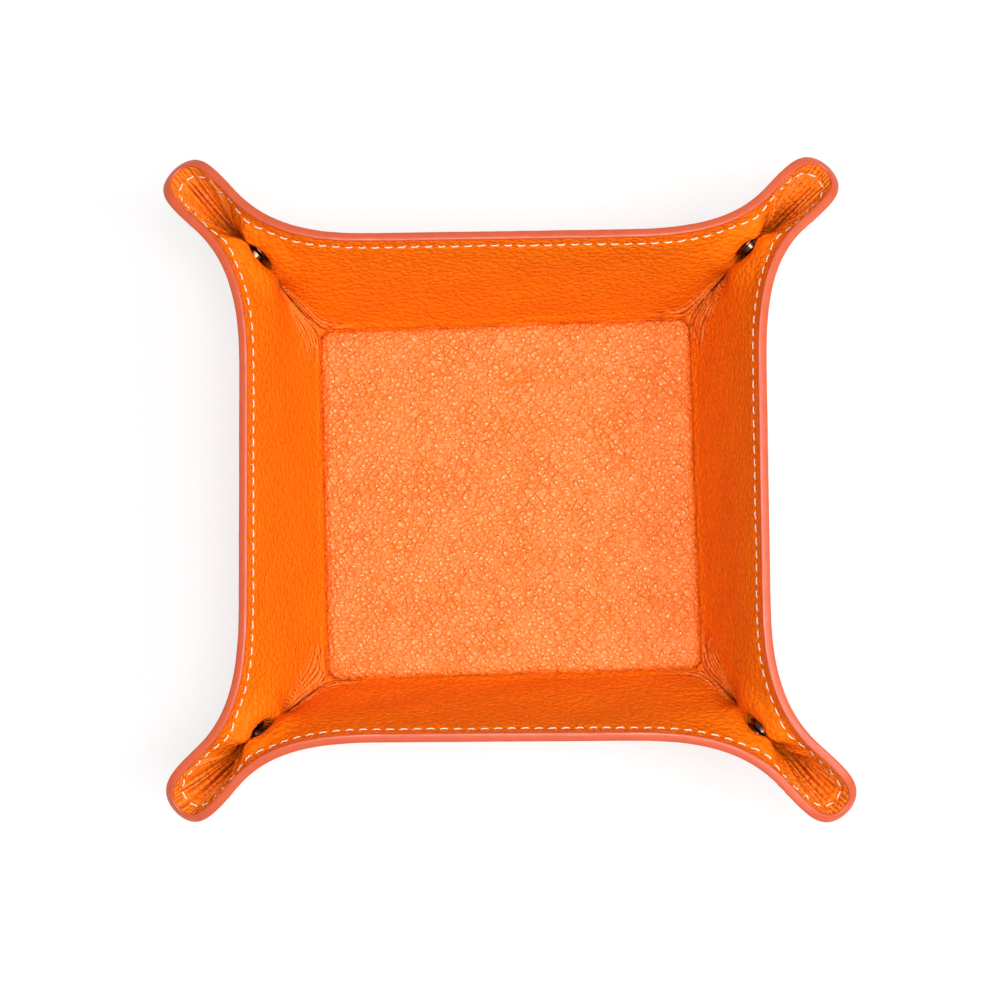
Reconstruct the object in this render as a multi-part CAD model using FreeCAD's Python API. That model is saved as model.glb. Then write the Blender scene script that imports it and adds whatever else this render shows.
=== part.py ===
import FreeCAD, Part
import math
import os

os.makedirs("parts", exist_ok=True)
V = FreeCAD.Vector

# Sheet and folds
base_length = 114.0            # between the left and right creases
base_width = 109.0             # between the front and back creases
wall_height = 51.0             # crease to rim, along the slope
sheet_corner_radius = 14.0     # rounding of the flat sheet's corners
leather_thickness = 1.3        # one ply
wall_slope_deg = 70.0          # wall to the ground

# Base panel
board_thickness = 2.0
board_inset = 3.0              # crease to board edge
crease_gap = 0.3               # base panel to wall at the crease
panel_corner_radius = 2.5
board_corner_radius = 3.0
shoulder_radius = 2.6          # rounding of the lining over the board edge

# Ear, a fan of straight lines from the base corner to the rim
wall_start_radius = 4.0        # where the wall's bend begins, from the base corner
flap_start_radius = 6.0        # where the flap begins, from the base corner
keel_start_radius = 14.0       # where the keel begins, from the base corner
bend_start_deg = 24.0          # fan angle before the wall's end at which the bend begins
wall_cut_deg = 12.0            # fan angle of the fold between wall and flap
keel_cut_deg = 40.0            # fan angle of the fold between flap and keel
fold_deg = 45.0                # fan angle of the ear's middle
pinch_half_deg = 3.6           # half opening at the snap, seen from the base corner
rim_half_deg = 5.7             # half opening at the rim, seen from the base corner
pinch_rise_deg = 48.5          # rise of the closest line
keel_rise_deg = 34.0           # rise of the ear's lowest line
pinch_share = 0.67             # of the fan, from the base corner to the snap's height
fold_arc_share = 0.9           # handle of the keel curve to its two legs

# Clearances at the folds
fold_open_gap = 0.6            # on the side that closes up when the tray is laid flat
fold_shut_gap = 0.2            # on the side that opens
middle_gap = 0.35              # half ear to the ear's middle plane

# Snap
snap_fan_deg = 27.0            # fan angle of the snap's centre
snap_radius = 38.0             # base corner to the snap's centre
seat_distance = 2.75           # middle plane to the pressed seat inside the ear
cap_seat_distance = 4.65       # middle plane to the pressed seat outside the ear
seat_clearance = 0.1           # pressed seat around a flange
socket_outer_radius = 5.2
socket_mouth_radius = 4.1
socket_cavity_radius = 2.6
socket_floor = 0.55
socket_flange = 0.9
socket_height = 4.2
socket_lip_radius = 0.6
cap_radius = 6.0
cap_edge = 0.5
cap_dome = 0.8
cap_stem_radius = 1.9
stud_flange_radius = 5.0
stud_flange = 1.0
stud_neck_radius = 1.5
stud_head_radius = 1.8
stud_height = 2.2
stud_head_height = 1.2
post_radius = 5.4
post_edge = 0.4
post_dome = 0.6
post_stem_radius = 1.4
hole_clearance = 0.1           # leather hole around a stem

# Sampling
table_steps = 160
wall_points = 9
flap_points = 9
keel_points = 6

sheet_thickness = leather_thickness * 2
crease_height = sheet_thickness
slope = math.radians(wall_slope_deg)
mitre = math.tan(slope / 2)
root_half = math.sqrt(1 / 2)
along = V(root_half, root_half, 0)
across = V(-root_half, root_half, 0)
up = V(0, 0, 1)
inner_depth = 0.0


# Direction on the back wall's plane at a fan angle, 0 straight up the slope
def wall_direction(fan_deg):
    fan = math.radians(fan_deg)
    rise = math.cos(fan)
    return V(math.sin(fan), rise * math.cos(slope), rise * math.sin(slope))


# Direction from its angle off the ear's middle plane and its rise in that plane
def ear_direction(off_deg, rise_deg):
    off = math.radians(off_deg)
    rise = math.radians(rise_deg)
    flat = math.cos(off)
    return along * (flat * math.cos(rise)) + up * (flat * math.sin(rise)) + across * math.sin(off)


def ear_angles(direction):
    off = math.degrees(math.asin(direction.dot(across)))
    rise = math.degrees(math.atan2(direction.dot(up), direction.dot(along)))
    return (off, rise)


# Cubic through two pairs of angles with given end slopes
def cubic(start, start_slope, end, end_slope, share):
    square = share * share
    cube = square * share
    parts = (2 * cube - 3 * square + 1, cube - 2 * square + share, 3 * square - 2 * cube, cube - square)
    return tuple(
        parts[0] * start[i] + parts[1] * start_slope[i] + parts[2] * end[i] + parts[3] * end_slope[i]
        for i in range(2)
    )


# Fan directions by fan angle, from the bend's start on the wall to the ear's middle
def fan_table(half_deg):
    first = ear_angles(wall_direction(-bend_start_deg))
    step_deg = bend_start_deg / table_steps
    second = ear_angles(wall_direction(step_deg - bend_start_deg))
    first_slope = ((second[0] - first[0]) / step_deg, (second[1] - first[1]) / step_deg)
    pinch = (half_deg, pinch_rise_deg)
    keel = (0, keel_rise_deg)
    bend_length = math.hypot(pinch[0] - first[0], pinch[1] - first[1])
    keel_length = fold_arc_share * (pinch[0] + pinch[1] - keel[1])
    directions = []
    for i in range(table_steps):
        angles = cubic(
            first,
            (first_slope[0] * bend_length, first_slope[1] * bend_length),
            pinch,
            (0, -bend_length),
            i / table_steps,
        )
        directions.append(ear_direction(*angles))
    for i in range(table_steps + 1):
        angles = cubic(pinch, (0, -keel_length), keel, (-keel_length, 0), i / table_steps)
        directions.append(ear_direction(*angles))
    lengths = [0.0]
    for i in range(1, len(directions)):
        lengths.append(lengths[-1] + directions[i].getAngle(directions[i - 1]))
    stretch = (fold_deg + bend_start_deg) / lengths[-1]
    return [(lengths[i] * stretch - bend_start_deg, directions[i]) for i in range(len(directions))]


pinch_table = fan_table(pinch_half_deg)
rim_table = fan_table(rim_half_deg)


def fan_place(table, fan_deg):
    i = 1
    while i < len(table) - 1 and table[i][0] < fan_deg:
        i += 1
    low, high = table[i - 1], table[i]
    share = (fan_deg - low[0]) / (high[0] - low[0])
    direction = low[1] * (1 - share) + high[1] * share
    direction.normalize()
    return i, direction


# Normal of the fan towards the inside of the tray
def fan_normal(table, fan_deg):
    i, direction = fan_place(table, fan_deg)
    if i >= len(table) - 1:
        tangent = across * -1
    elif i <= 1:
        tangent = table[1][1] - table[0][1]
    else:
        tangent = table[i + 1][1] - table[i - 2][1]
    normal = tangent.cross(direction)
    normal.normalize()
    return normal


# Length of the flat sheet from the base corner at a fan angle
def sheet_reach(fan_deg):
    fan = math.radians(min(fan_deg, fold_deg))
    straight = wall_height - sheet_corner_radius
    if math.tan(fan) <= straight / wall_height:
        return wall_height / math.cos(fan)
    middle = straight * (math.sin(fan) + math.cos(fan))
    return middle + math.sqrt(sheet_corner_radius**2 - 2 * straight**2 + middle**2)


# The three lines across the fan: near the corner, at the snap's height and at the rim
def fan_reach(station, fan_deg, start_radius):
    if station == 0:
        return start_radius
    return sheet_reach(fan_deg) * (pinch_share if station == 1 else 1)


def fan_point(station, fan_deg, depth, start_radius):
    table = rim_table if station == 2 else pinch_table
    direction = fan_place(table, fan_deg)[1]
    return direction * fan_reach(station, fan_deg, start_radius) - fan_normal(table, fan_deg) * depth


def fan_row(station, span, gaps, depth, count, start_radius):
    first = span[0] + math.degrees(gaps[0] / fan_reach(station, span[0], start_radius))
    last = span[1] - math.degrees(gaps[1] / fan_reach(station, span[1], start_radius))
    steps = [first + (last - first) * i / (count - 1) for i in range(count)]
    return [fan_point(station, fan_deg, depth, start_radius) for fan_deg in steps]


def curve(points):
    spline = Part.BSplineCurve()
    spline.interpolate(points)
    return spline.toShape()


def line(a, b):
    return Part.makeLine(a, b)


def flat_face(points):
    return Part.Face(Part.makePolygon(points + points[:1]))


def closed_solid(faces):
    shell = Part.Shell(faces)
    shell.sewShape()
    solid = Part.Solid(shell)
    if solid.Volume < 0:
        solid.reverse()
    return solid


# Faces of one ply of the fan over a span of fan angles, with a gap at each end
def fan_faces(span, gaps, depths, count, start_radius, start_face=True):
    rows = [
        [fan_row(station, span, gaps, depth, count, start_radius) for depth in depths]
        for station in range(3)
    ]
    edges = [[curve(points) for points in row] for row in rows]
    faces = []
    for station in range(2):
        for side in range(2):
            faces.append(Part.makeRuledSurface(edges[station][side], edges[station + 1][side]))
    faces.append(Part.makeRuledSurface(edges[0][0], edges[0][1]))
    faces.append(Part.makeRuledSurface(edges[2][0], edges[2][1]))
    for end in (0, -1) if start_face else (-1,):
        for station in range(2):
            low = line(rows[station][0][end], rows[station + 1][0][end])
            high = line(rows[station][1][end], rows[station + 1][1][end])
            faces.append(Part.makeRuledSurface(low, high))
    return faces, rows


def mirrored(shape, normal):
    return shape.mirror(V(0, 0, 0), normal)


# One ply of a wall: flat middle, mitred at the crease, with half of the bend at each end
def wall_ply(length, depths, end_gap):
    span = (-bend_start_deg, wall_cut_deg)
    faces, rows = fan_faces(span, (0, end_gap), depths, wall_points, wall_start_radius, False)
    to_end = V(length / 2, 0, 0)
    across_wall = V(1, 0, 0)
    for face in faces:
        face.translate(to_end)
    left_faces = [mirrored(face, across_wall) for face in faces]
    right_side = [[rows[station][side][0] + to_end for station in range(3)] for side in range(2)]
    normal = fan_normal(pinch_table, -bend_start_deg)
    lean = wall_direction(-bend_start_deg)
    feet = []
    for side in range(2):
        drop = -depths[side] * mitre / math.cos(math.radians(bend_start_deg))
        feet.append(to_end + lean * drop - normal * depths[side])
    outlines = []
    for side in range(2):
        right = [feet[side]] + right_side[side]
        left = [V(-p.x, p.y, p.z) for p in right]
        outlines.append((left, right))
        faces.append(flat_face(right + left[::-1]))
    for row in (0, -1):
        ends = [outlines[side][end][row] for side, end in ((0, 0), (0, 1), (1, 1), (1, 0))]
        faces.append(flat_face(ends))
    for end in range(2):
        inner, outer = outlines[0][end], outlines[1][end]
        faces.append(flat_face([inner[0], inner[1], outer[1], outer[0]]))
    return closed_solid(faces + left_faces)


def fan_ply(span, gaps, depths, count, start_radius):
    return closed_solid(fan_faces(span, gaps, depths, count, start_radius)[0])


lining_depths = (inner_depth, leather_thickness)
outer_depths = (leather_thickness, sheet_thickness)

# Snap pieces turn about the line across the ear through the snap's centre
snap_centre = fan_place(pinch_table, snap_fan_deg)[1] * snap_radius
snap_centre = snap_centre - across * snap_centre.dot(across)


# Solid of revolution from (distance from the axis, distance from the middle plane) pairs
def turned(profile, side):
    points = [snap_centre + along * radius + across * (side * off) for radius, off in profile]
    face = flat_face(points)
    return face.revolve(snap_centre, across, 360)


def bored_disc(radius, low, high, side):
    return turned([(0, low), (radius, low), (radius, high), (0, high)], side)


# Points of a quarter turn from the rim of a dome to its crown
def dome(radius, edge, crown, count):
    places = []
    for i in range(count + 1):
        turn = math.pi / 2 * i / count
        places.append((radius * math.cos(turn), edge + (crown - edge) * math.sin(turn)))
    return places


dome_steps = 4
stem_end = seat_distance - socket_floor
socket_mouth = seat_distance - socket_height
stud_top = -seat_distance + stud_flange


def snap_cap():
    crown = cap_seat_distance + cap_edge + cap_dome
    profile = [(0, stem_end), (cap_stem_radius, stem_end), (cap_stem_radius, cap_seat_distance)]
    profile.append((cap_radius, cap_seat_distance))
    profile += dome(cap_radius, cap_seat_distance + cap_edge, crown, dome_steps)
    return turned(profile, 1)


def snap_socket():
    lip = [
        (
            socket_mouth_radius - socket_lip_radius + socket_lip_radius * math.sin(math.pi / 2 * i / dome_steps),
            socket_mouth + socket_lip_radius - socket_lip_radius * math.cos(math.pi / 2 * i / dome_steps),
        )
        for i in range(dome_steps + 1)
    ]
    profile = [(cap_stem_radius, seat_distance), (cap_stem_radius, stem_end), (socket_cavity_radius, stem_end)]
    profile.append((socket_cavity_radius, socket_mouth))
    profile += lip
    profile.append((socket_mouth_radius, seat_distance - socket_flange))
    profile.append((socket_outer_radius, seat_distance - socket_flange))
    profile.append((socket_outer_radius, seat_distance))
    return turned(profile, 1)


# The stud's half lies on the other side of the middle plane, written here with its sign turned
def snap_stud():
    neck_end = stud_top + stud_height - stud_head_height
    head = [
        (stud_head_radius * math.cos(math.pi / 2 * i / dome_steps),
         neck_end + stud_head_height * (1 + math.sin(math.pi / 2 * i / dome_steps)) / 2)
        for i in range(dome_steps + 1)
    ]
    profile = [(0, stud_top), (0, -seat_distance + stud_flange / 2)]
    profile.append((post_stem_radius, -seat_distance + stud_flange / 2))
    profile.append((post_stem_radius, -seat_distance))
    profile.append((stud_flange_radius, -seat_distance))
    profile.append((stud_flange_radius, stud_top))
    profile.append((stud_neck_radius, stud_top))
    profile.append((stud_neck_radius, neck_end))
    profile += head
    return turned(profile, 1)


def snap_post():
    crown = -(cap_seat_distance + post_edge + post_dome)
    stem_top = -seat_distance + stud_flange / 2
    profile = [(0, stem_top), (post_stem_radius, stem_top), (post_stem_radius, -cap_seat_distance)]
    profile.append((post_radius, -cap_seat_distance))
    profile += dome(post_radius, -(cap_seat_distance + post_edge), crown, dome_steps)
    return turned(profile, 1)


# Hole and pressed seats for a snap in the half ear on the given side of the middle plane
def seated(ply, stem, inner_flange, outer_flange, side):
    far = sheet_thickness * 4
    ply = ply.cut(bored_disc(stem + hole_clearance, -seat_distance, far, side))
    ply = ply.cut(bored_disc(inner_flange + seat_clearance, -seat_distance, seat_distance, side))
    return ply.cut(bored_disc(outer_flange + seat_clearance, cap_seat_distance, far, side))


flap_span = (wall_cut_deg, keel_cut_deg)
keel_span = (keel_cut_deg, fold_deg)
flap_lining = fan_ply(flap_span, (0, 0), lining_depths, flap_points, flap_start_radius)
flap_outer = fan_ply(flap_span, (0, 0), outer_depths, flap_points, flap_start_radius)
keel_gaps = (fold_open_gap, middle_gap)
keel_lining = fan_ply(keel_span, keel_gaps, lining_depths, keel_points, keel_start_radius)
keel_outer = fan_ply(keel_span, keel_gaps, outer_depths, keel_points, keel_start_radius)

socket_side = {
    "flap_lining": seated(flap_lining, cap_stem_radius, socket_outer_radius, cap_radius, 1),
    "flap_outer": seated(flap_outer, cap_stem_radius, socket_outer_radius, cap_radius, 1),
    "keel_lining": keel_lining,
    "keel_outer": keel_outer,
    "snap_cap": snap_cap(),
    "snap_socket": snap_socket(),
}
stud_side = {
    "flap_lining": seated(flap_lining, post_stem_radius, stud_flange_radius, post_radius, 1),
    "flap_outer": seated(flap_outer, post_stem_radius, stud_flange_radius, post_radius, 1),
    "keel_lining": keel_lining,
    "keel_outer": keel_outer,
    "snap_stud": mirrored(snap_stud(), across),
    "snap_post": mirrored(snap_post(), across),
}


def export(shape, name):
    shape.exportStep(f"parts/{name}.step")


# Walls, each built at the back and turned to its side
wall_turns = {"back": 0, "left": 90, "front": 180, "right": 270}
lengths = {"back": base_length, "front": base_length, "left": base_width, "right": base_width}
reaches = {"back": base_width / 2, "front": base_width / 2, "left": base_length / 2, "right": base_length / 2}


def placed_wall(shape, side):
    piece = shape.copy()
    piece.translate(V(0, reaches[side], crease_height))
    piece.rotate(V(0, 0, 0), up, wall_turns[side])
    return piece


for side in wall_turns:
    export(placed_wall(wall_ply(lengths[side], lining_depths, fold_open_gap), side), f"wall_lining_{side}")
    export(placed_wall(wall_ply(lengths[side], outer_depths, fold_shut_gap), side), f"wall_outer_{side}")

# Half ears; each wall carries a socket half at its clockwise end seen from above
clockwise = {"back": "right", "right": "front", "front": "left", "left": "back"}
ahead = V(1, 0, 0)
for side in wall_turns:
    corner = V(lengths[side] / 2, 0, 0)
    other = [s for s in clockwise if clockwise[s] == side][0]
    for end, pieces in ((clockwise[side], socket_side), (other, stud_side)):
        for name, shape in pieces.items():
            piece = shape.copy()
            piece.translate(corner)
            if end == other:
                piece = mirrored(piece, ahead)
            export(placed_wall(piece, side), f"{name}_{side}_{end}")


# Base
def rounded_block(half_length, half_width, low, high, radius):
    block = Part.makeBox(
        half_length * 2, half_width * 2, high - low, V(-half_length, -half_width, low)
    )
    edges = [e for e in block.Edges if abs(e.tangentAt(e.FirstParameter).z) > root_half]
    return block.makeFillet(radius, edges)


panel_half_length = base_length / 2 - crease_gap
panel_half_width = base_width / 2 - crease_gap
board_top = leather_thickness + board_thickness
panel_top = board_top + leather_thickness

board = rounded_block(
    base_length / 2 - board_inset,
    base_width / 2 - board_inset,
    leather_thickness,
    board_top,
    board_corner_radius,
)
export(board, "base_board")

lining = rounded_block(panel_half_length, panel_half_width, leather_thickness, panel_top, panel_corner_radius)
shoulder = [
    e for e in lining.Edges if min(v.Z for v in e.Vertexes) > (board_top + panel_top) / 2
]
lining = lining.makeFillet(shoulder_radius, shoulder).cut(board)
export(lining, "base_lining")

outer = rounded_block(
    panel_half_length + leather_thickness * mitre,
    panel_half_width + leather_thickness * mitre,
    0,
    leather_thickness,
    panel_corner_radius,
)
export(outer, "base_outer_leather")
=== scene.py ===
import bpy
import math
import numpy as np
from mathutils import Matrix, Vector


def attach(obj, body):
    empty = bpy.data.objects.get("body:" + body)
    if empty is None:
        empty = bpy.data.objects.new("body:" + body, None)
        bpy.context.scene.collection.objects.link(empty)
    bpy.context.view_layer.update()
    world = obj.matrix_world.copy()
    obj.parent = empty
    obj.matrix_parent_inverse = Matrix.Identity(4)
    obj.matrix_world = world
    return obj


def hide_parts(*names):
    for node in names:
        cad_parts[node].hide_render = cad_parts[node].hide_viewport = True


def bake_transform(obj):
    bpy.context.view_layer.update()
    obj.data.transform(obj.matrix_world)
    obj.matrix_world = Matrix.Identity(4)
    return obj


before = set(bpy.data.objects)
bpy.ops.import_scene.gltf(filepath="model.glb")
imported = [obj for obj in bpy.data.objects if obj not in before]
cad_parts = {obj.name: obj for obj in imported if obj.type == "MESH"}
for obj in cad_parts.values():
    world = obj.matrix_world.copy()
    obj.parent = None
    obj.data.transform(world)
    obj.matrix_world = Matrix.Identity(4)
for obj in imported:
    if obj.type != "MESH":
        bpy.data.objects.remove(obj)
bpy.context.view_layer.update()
print("frame loaded:", len(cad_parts), "nodes")

mm = 0.001  # everything below is worked out in millimetres
mapSize = 250.0  # millimetres to one unit of the flat map

# the leather sheet, lying flat, and its folds
sheet = dict(baseLength=114.0, baseWidth=109.0, wallHeight=51.0, cornerRadius=14.0, ply=1.3, slopeDeg=70.0,
             creaseZ=2.6)
# the ear: a fan of straight lines from the base corner
fan = dict(bendStart=24.0, pinchHalf=1.9, seatHalf=3.6, rimHalf=5.7, pinchRise=48.5, keelRise=34.0, foldArc=0.9,
           pinchFrom=0.55, wallCut=12.0, keelCut=39.5, seam=31.0, middle=45.0, mirrorFrom=20.0, steps=240)
# how finely the leather is meshed, and where the bends between bodies lie
mesh = dict(apexRadius=0.5, turnFrom=-24.0, footLow=0.25, rimShare=0.84, flatStations=30, bentStations=180,
            earStations=64, outerBent=84, outerEar=36, lowRows=46, rimRows=26, wallBend=12.0, keelBend=4.5)

slope = math.radians(sheet["slopeDeg"])
straightRim = sheet["wallHeight"] - sheet["cornerRadius"]
wallInward = np.array([0.0, -math.sin(slope), math.cos(slope)])
along = np.array([math.sqrt(0.5), math.sqrt(0.5), 0.0])
across = np.array([-math.sqrt(0.5), math.sqrt(0.5), 0.0])
upward = np.array([0.0, 0.0, 1.0])


# vectors scaled to length one
def unit(vectors):
    return vectors / np.maximum(np.linalg.norm(vectors, axis=-1, keepdims=True), 1e-9)


# smoothstep: 0 below 0, 1 above 1, a cubic between
def smooth(x):
    x = np.clip(x, 0.0, 1.0)
    return x * x * (3.0 - 2.0 * x)


# smooth bump: rises from lowStart to lowEnd and falls from highStart to highEnd
def band(x, lowStart, lowEnd, highStart, highEnd):
    return smooth((x - lowStart) / (lowEnd - lowStart)) * smooth((highEnd - x) / (highEnd - highStart))


# sum of sine waves in seeded directions, about -1 to 1, with wavelengths around the given length
def softNoise(x, y, wavelength, seed, waves=9):
    pick = np.random.default_rng(seed)
    turns = pick.uniform(0, 2 * math.pi, waves)
    phases = pick.uniform(0, 2 * math.pi, waves)
    sizes = 2 * math.pi / (wavelength * pick.uniform(0.65, 1.5, waves))
    total = np.zeros(np.broadcast(x, y).shape)
    for turn, phase, size in zip(turns, phases, sizes):
        total = total + np.sin(size * (math.cos(turn) * x + math.sin(turn) * y) + phase)
    return total / math.sqrt(waves * 2.0)


# place on the back wall's plane at flat coordinates
def wallPlane(a, b):
    return np.stack([a, b * math.cos(slope), b * math.sin(slope)], -1)


# direction on the back wall's plane at a fan angle, straight up the slope at 0
def wallDirection(fanDeg):
    turn = math.radians(fanDeg)
    return wallPlane(math.sin(turn), math.cos(turn))


# cubic Hermite curve through two pairs of angles with given end slopes
def hermite(start, startSlope, end, endSlope, share):
    s = share[:, None]
    cube, square = s ** 3, s ** 2
    return ((2 * cube - 3 * square + 1) * start + (cube - 2 * square + s) * startSlope
            + (3 * square - 2 * cube) * end + (cube - square) * endSlope)


# fan directions by fan angle: one cubic from the wall to the pinch, one from the pinch round to the ear's
# middle, both in (angle off the middle plane, rise), rescaled by arc length, then mirrored past the middle
def fanTable(halfDeg):
    def angles(direction):
        return np.array([math.degrees(math.asin(direction @ across)),
                         math.degrees(math.atan2(direction @ upward, direction @ along))])

    step = 0.1
    first = angles(wallDirection(-fan["bendStart"]))
    firstSlope = (angles(wallDirection(step - fan["bendStart"])) - first) / step
    pinch = np.array([halfDeg, fan["pinchRise"]])
    keel = np.array([0.0, fan["keelRise"]])
    bendLength = np.linalg.norm(pinch - first)
    keelLength = fan["foldArc"] * (pinch[0] + pinch[1] - keel[1])
    share = np.arange(fan["steps"] + 1) / fan["steps"]
    toPinch = hermite(first, firstSlope * bendLength, pinch, np.array([0.0, -bendLength]), share[:-1])
    toKeel = hermite(pinch, np.array([0.0, -keelLength]), keel, np.array([-keelLength, 0.0]), share)
    off, rise = np.radians(np.vstack([toPinch, toKeel])).T[..., None]
    direction = np.cos(off) * np.cos(rise) * along + np.cos(off) * np.sin(rise) * upward + np.sin(off) * across
    arc = np.concatenate([[0.0], np.cumsum(np.linalg.norm(np.diff(direction, axis=0), axis=1))])
    beta = arc * (fan["middle"] + fan["bendStart"]) / arc[-1] - fan["bendStart"]
    mirror = direction - 2 * (direction @ across)[:, None] * across
    keep = beta > fan["mirrorFrom"]
    beta = np.concatenate([beta, 2 * fan["middle"] - beta[keep][::-1][1:]])
    direction = np.vstack([direction, mirror[keep][::-1][1:]])
    return beta, direction, unit(np.cross(np.gradient(direction, beta, axis=0), direction))


pinchTable = fanTable(fan["pinchHalf"])
seatTable = fanTable(fan["seatHalf"])  # the snap's seat, where the leather stands apart
rimTable = fanTable(fan["rimHalf"])


# value of a table of vectors at fan angles, by straight lines between its rows
def lookUp(beta, rows, at):
    return unit(np.stack([np.interp(at, beta, rows[:, i]) for i in range(3)], -1))


# length of the flat sheet from the base corner at a fan angle: to the straight rim, or to its rounded corner
def sheetReach(beta):
    turn = np.radians(np.clip(np.minimum(beta, 2 * fan["middle"] - beta), -89.0, fan["middle"]))
    middle = straightRim * (np.sin(turn) + np.cos(turn))
    beyond = sheet["cornerRadius"] ** 2 - 2 * straightRim ** 2 + middle ** 2
    toCorner = middle + np.sqrt(np.maximum(beyond, 0.0))
    isStraight = np.tan(turn) <= straightRim / sheet["wallHeight"]
    return np.where(isStraight, sheet["wallHeight"] / np.cos(turn), toCorner)


# flat coordinates to distance from the base corner and fan angle
def fanPlace(a, b):
    return np.hypot(a, b), np.degrees(np.arctan2(a, b))


# place and inner normal of the folded sheet at flat coordinates: a along the wall from the base corner, b up
# from the crease; the fan's lines pass from the pinched table to the rim's towards the rim
def foldedSheet(a, b):
    rho, beta = fanPlace(a, b)
    share = smooth((rho / sheetReach(beta) - fan["pinchFrom"]) / (1.0 - fan["pinchFrom"]))[..., None]

    def between(column):
        pinch, rim = (lookUp(table[0], table[column], beta) for table in (pinchTable, rimTable))
        return unit(pinch * (1 - share) + rim * share)

    isFlat = (beta < -fan["bendStart"])[..., None]
    place = np.where(isFlat, wallPlane(a, b), rho[..., None] * between(1))
    return place, np.where(isFlat, wallInward, between(2))


wallTurns = dict(back=0, left=90, front=180, right=270)
clockwise = dict(back="right", right="front", front="left", left="back")
wallLengths = dict(back=sheet["baseLength"], front=sheet["baseLength"],
                   left=sheet["baseWidth"], right=sheet["baseWidth"])
wallReaches = dict(back=sheet["baseWidth"] / 2, front=sheet["baseWidth"] / 2,
                   left=sheet["baseLength"] / 2, right=sheet["baseLength"] / 2)
cornerSeeds = {"back_right": 11, "front_right": 23, "front_left": 37, "back_left": 51}


# turn about the upright axis by whole quarter turns
def quarterTurn(deg):
    c, s = round(math.cos(math.radians(deg))), round(math.sin(math.radians(deg)))
    return np.array([[c, -s, 0.0], [s, c, 0.0], [0.0, 0.0, 1.0]])


# one end of one wall: how its corner stands in the tray, and the names of the bodies that carry it
def wallEnd(side, end):
    ahead = end == clockwise[side]
    turn = quarterTurn(wallTurns[side]) @ np.diag([1.0 if ahead else -1.0, 1.0, 1.0])
    half, reach = wallLengths[side] / 2, wallReaches[side]
    key = f"{side}_{end}"
    return dict(side=side, end=end, key=key, ahead=ahead, onSide=side in ("left", "right"), turn=turn,
                corner=turn @ np.array([half, reach, sheet["creaseZ"]]), half=half, reach=reach,
                seed=cornerSeeds["_".join(sorted([side, end]))],
                wall=f"wall_{side}", flap=f"flap_{key}", keel=f"keel_{key}")


wallEnds = [wallEnd(side, end) for side in wallTurns
            for end in (clockwise[side], next(s for s in clockwise if clockwise[s] == side))]
corners = [part for part in wallEnds if part["ahead"]]


# the real tray stands a little uneven: its base is turned under the rim and two ears reach further out
settle = dict(turnDeg=1.25, stretch=0.012, low=3.0, high=43.0, earFrom=86.0, earRun=44.0,
              backLeft=(-1.6, 2.3), frontRight=(1.7, -1.2))


# base turned and stretched along its length, less with height, and ears moved out by how far along the diagonal
# they lie
def settled(points):
    x, y, z = np.moveaxis(points, -1, 0)
    share = 1.0 - smooth((z - settle["low"]) / (settle["high"] - settle["low"]))
    turn = math.radians(settle["turnDeg"]) * share
    wide = x * (1.0 + settle["stretch"] * share)
    movedX, movedY = wide * np.cos(turn) - y * np.sin(turn), wide * np.sin(turn) + y * np.cos(turn)
    diagonal = (x - y) * math.sqrt(0.5)
    for sign, (outX, outY) in ((-1.0, settle["backLeft"]), (1.0, settle["frontRight"])):
        reach = smooth((sign * diagonal - settle["earFrom"]) / settle["earRun"])
        movedX, movedY = movedX + outX * reach, movedY + outY * reach
    return np.stack([movedX, movedY, z], -1)


# corner coordinates to tray coordinates
def placed(part, points):
    return settled(points @ part["turn"].T + part["corner"])


# coordinates on the whole flat sheet, centred on the base
def flatPlace(part, a, b):
    local = np.stack([a + part["half"], b + part["reach"], np.zeros(np.shape(a))], -1)
    return np.moveaxis(local @ part["turn"].T, -1, 0)[:2]


snap = dict(fanDeg=27.0, radius=38.0, seat=1.95, capSeat=4.2, pressed=6.6, press=5.0)


# distance from the snap's middle on the flat sheet, and how far that is to the wall's side of it
def aboutSnap(a, b):
    turn = math.radians(snap["fanDeg"])
    fromA, fromB = a - snap["radius"] * math.sin(turn), b - snap["radius"] * math.cos(turn)
    return np.hypot(fromA, fromB), -fromA * math.cos(turn) + fromB * math.sin(turn)


# creases of the leather; the gathers run from the snap down to the base corner and turn along the wall's foot;
# a run is where a crease starts, is full, fades and ends, and so is a fan in degrees; a waver is how much of
# the way along the crease counts, its wavelength and its size
# the shade entries scale painted shade in valleys, at the pinch and below the snap, and painted highlight on
# ridges
wrinkles = dict(cornerHeight=0.70, cornerSpacing=1.25, sideWide=10.0, endWide=5.5, narrowest=0.22,
                narrowFrom=35.0, narrowRun=24.0, slowWaver=(0.12, 4.0, 0.9), fastWaver=(0.3, 2.2, 0.35),
                gatherRun=(-14.0, -3.0, 31.0, 37.0), gatherFrom=-14.0, gatherRise=10.0,
                patchLength=8.0, patchMean=0.85, patchSpread=0.45,
                troughHeight=0.75, troughSpacing=1.5, troughRun=(39.0, 47.0, 57.0, 64.0),
                troughFan=(25.0, 36.0, 60.0, 70.0), troughShade=1.3, troughWaver=(0.15, 6.0, 1.3),
                minorWaver=(0.2, 5.0, 1.0), minor=0.35, minorPace=1.6, patchWaver=(0.15, 3.0, 0.5),
                tipHeight=0.42, tipSpacing=1.15, tipRun=(0.3, 1.0, 3.4, 5.5), tipFan=(28.0, 36.0, 60.0, 70.0),
                tipShade=1.2, ridgeLevel=0.6, pinchShade=0.55, pinchRun=(37.0, 41.0, 44.0, 56.0),
                pinchFan=(22.0, 30.0, 60.0, 68.0), valleyShade=0.35, valleyOff=2.0, valleyWidth=3.5,
                valleyRun=(12.0, 24.0, 36.0, 40.0))
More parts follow.
